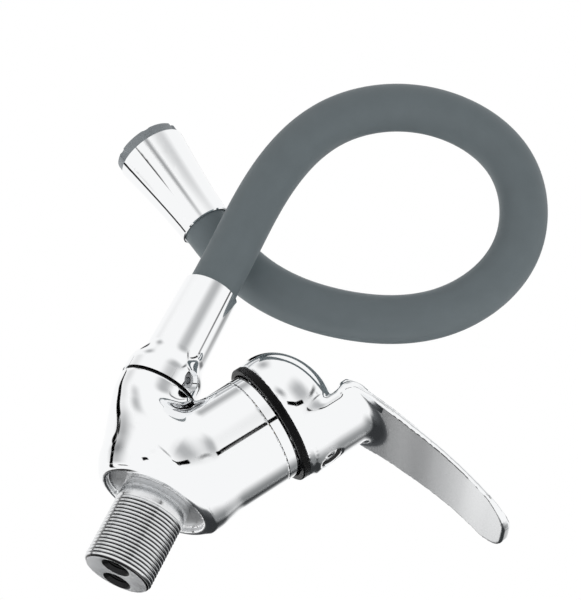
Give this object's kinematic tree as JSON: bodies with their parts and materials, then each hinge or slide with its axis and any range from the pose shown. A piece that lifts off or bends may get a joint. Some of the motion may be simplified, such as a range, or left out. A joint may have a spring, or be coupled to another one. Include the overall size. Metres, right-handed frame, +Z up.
{
  "type": "mixer tap",
  "caption": "Single-lever basin mixer tap with a flexible silicone gooseneck spout on a threaded shank.",
  "frame": {"origin": "centre of the foot's underside on the shank's axis, where the tap stands on its deck", "axes": "+Z up along the shank, +X towards the lever, -Y the side that the picture shows"},
  "size_m": [0.2162, 0.0673, 0.2547],
  "materials": {
    "chrome_body": "polished chrome plate on cast brass",
    "chrome_lever": "polished chrome plate on cast zinc",
    "chrome_trim": "polished chrome plate on turned brass",
    "plated_shank": "plated machined thread",
    "brass": "machined",
    "steel": "machined stainless steel",
    "ceramic": "ground ceramic",
    "white_plastic": "moulded acetal",
    "black_plastic": "moulded ABS",
    "plug_plastic": "moulded, plated plug",
    "grey_plastic": "moulded grey ABS",
    "seal_rubber": "moulded EPDM",
    "hose_silicone": "extruded silicone, silky matt",
    "core_plastic": "extruded PEX over a flexible strip-wound core"
  },
  "bodies": {
    "tap": {"body": "chrome_body", "shank": "plated_shank", "cartridge_nut": "brass", "cover_ring": "chrome_trim", "cartridge_housing": "white_plastic", "cartridge_base": "white_plastic", "port_seals": "seal_rubber", "fixed_disc": "ceramic", "nipple": "brass", "nipple_seals": "seal_rubber", "slip_washer": "black_plastic"},
    "spout": {"spout_collar": "chrome_trim", "collar_screw": "steel", "hose_sleeve": "hose_silicone", "hose_core": "core_plastic", "lower_insert": "brass", "upper_insert": "brass", "nozzle": "chrome_trim", "aerator_seal": "seal_rubber", "aerator": "black_plastic", "aerator_mesh": "steel", "tip_ring": "grey_plastic"},
    "rotor": {"control_rotor": "white_plastic", "stem_pin": "steel"},
    "lever": {"lever": "chrome_lever", "black_ring": "black_plastic", "lever_screw": "steel", "lever_plug": "plug_plastic", "stem": "steel"},
    "disc": {"moving_disc": "ceramic", "disc_carrier": "white_plastic"}
  },
  "joints": [
    {"name": "spout_swivel", "type": "hinge", "parent": "tap", "child": "spout", "pos_m": [-0.02, 0, 0.05], "axis": [0, 0, 1], "continuous": true},
    {"name": "lever_turn", "type": "hinge", "parent": "tap", "child": "rotor", "pos_m": [0.02305, 0, 0.04408], "axis": [0.5, 0, 0.866], "range_deg": [-45, 45]},
    {"name": "lever_lift", "type": "hinge", "parent": "rotor", "child": "lever", "pos_m": [0.0218, 0, 0.04192], "axis": [0, -1, 0], "range_deg": [0, 23]},
    {"name": "disc_slide", "type": "slide", "parent": "rotor", "child": "disc", "axis": [0.866, 0, -0.5], "range_m": [-0.0002, 0.00551]}
  ],
  "couplings": [
    {"joint": "disc_slide", "follows": "lever_lift", "m_per_rad": 0.013238}
  ]
}
